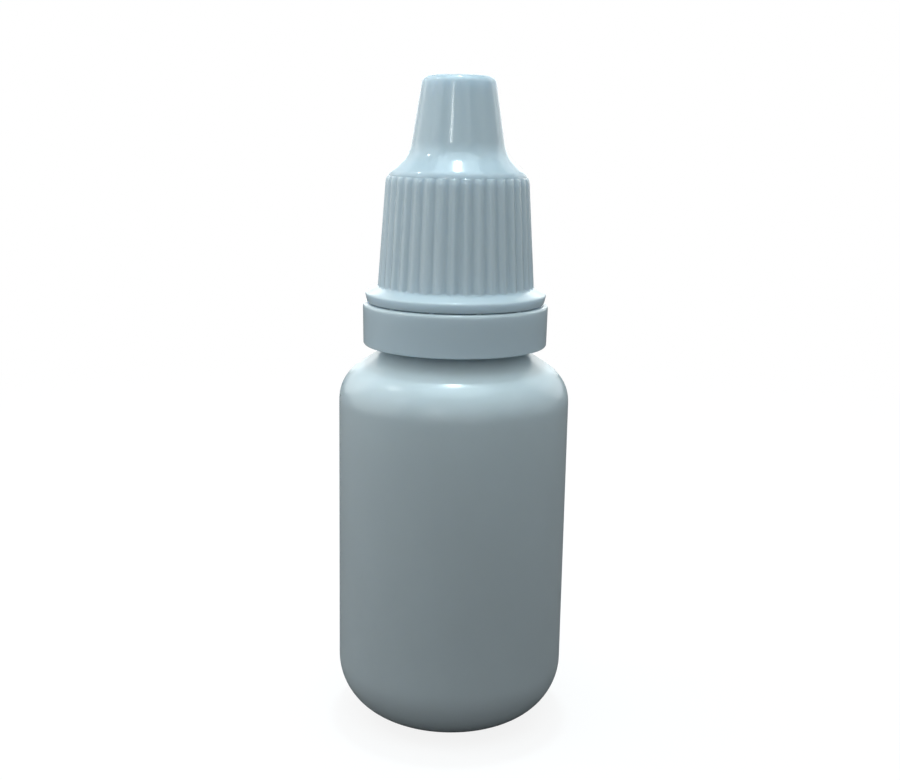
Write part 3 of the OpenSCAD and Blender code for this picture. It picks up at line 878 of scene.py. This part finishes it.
# %% World
world = bpy.data.worlds.new("room")
bpy.context.scene.world = world
world.use_nodes = True
tree = world.node_tree
tree.nodes.clear()
AMBIENT, AMBIENT_STRENGTH = (0.9, 0.96, 1.0, 1), 0.02
rays = add_node(tree, "ShaderNodeLightPath").outputs
room = add_node(tree, "ShaderNodeBackground", {
    "Color": AMBIENT, "Strength": AMBIENT_STRENGTH}).outputs[0]
backdrop = add_node(tree, "ShaderNodeBackground", {"Color": WHITE, "Strength": 1.0}).outputs[0]
shown = add_node(tree, "ShaderNodeMixShader", {
    0: rays["Is Camera Ray"], 1: room, 2: backdrop}).outputs[0]
add_node(tree, "ShaderNodeOutputWorld", {"Surface": shown})

# %% [markdown]
# The light is that of a small room. A bright lamp and a broad panel overhead light the cap and the
# shoulder, and leave the band under the ring in shade. Broad, weak panels stand in for the walls,
# brightest at the left, as in the photograph. Three small lamps far off give the highlights: two
# thin ones make the upright streak on the nose and the spot below it, and one at the side the
# spots on the left.


# %% Lamps
AIMED_AT = Vector((0, 0, 0.05))


def lamp(name, azimuth, elevation, distance, size, power, colour, height=None):
    """An area lamp aimed at the bottle, in degrees, metres and watts.

    Azimuth 0 is in front of the bottle and 90 to its right. With a height, size is the width.
    """
    a, e = radians(azimuth), radians(elevation)
    away = Vector((sin(a) * cos(e), -cos(a) * cos(e), sin(e)))
    data = bpy.data.lights.new(name, "AREA")
    data.shape = "RECTANGLE" if height else "DISK"
    data.size = size
    if height:
        data.size_y = height
    data.energy = power
    data.color = colour
    obj = bpy.data.objects.new(name, data)
    bpy.context.scene.collection.objects.link(obj)
    obj.location = AIMED_AT + away * distance
    obj.rotation_mode = "QUATERNION"
    obj.rotation_quaternion = away.to_track_quat("Z", "Y")
    obj.visible_camera = False


ROOM_WHITE, CEILING_WHITE = (0.96, 1.0, 1.0), (0.76, 0.93, 1.0)
lamp("ceiling_lamp", 180, 86, 0.65, 0.03, 1.45, CEILING_WHITE)
lamp("ceiling_panel", 0, 80, 0.30, 0.30, 0.54, CEILING_WHITE)
lamp("front_wall", 0, 8, 0.30, 0.40, 0.28, ROOM_WHITE)
lamp("upper_left", -50, 40, 0.15, 0.20, 0.018, ROOM_WHITE)
lamp("upper_right", 50, 40, 0.15, 0.20, 0.032, ROOM_WHITE)
lamp("left_wall", -90, 20, 0.30, 0.45, 0.52, ROOM_WHITE)
lamp("right_wall", 90, 20, 0.30, 0.45, 0.19, ROOM_WHITE)
lamp("back_left", -140, 20, 0.35, 0.30, 0.22, ROOM_WHITE)
lamp("back_right", 140, 20, 0.35, 0.30, 0.28, ROOM_WHITE)
lamp("back_wall", 180, 12, 0.35, 0.30, 0.34, ROOM_WHITE)
lamp("upper_window", -16.5, 19.5, 0.90, 0.045, 0.10, ROOM_WHITE, height=0.014)
lamp("lower_window", -18.5, 17.5, 0.90, 0.045, 0.15, ROOM_WHITE, height=0.012)
lamp("side_lamp", -95, 49.5, 0.80, 0.03, 0.28, ROOM_WHITE)
print(len(bpy.data.lights), "lamps light the bottle")

# %% Plain view settings
bpy.context.scene.view_settings.view_transform = "Standard"
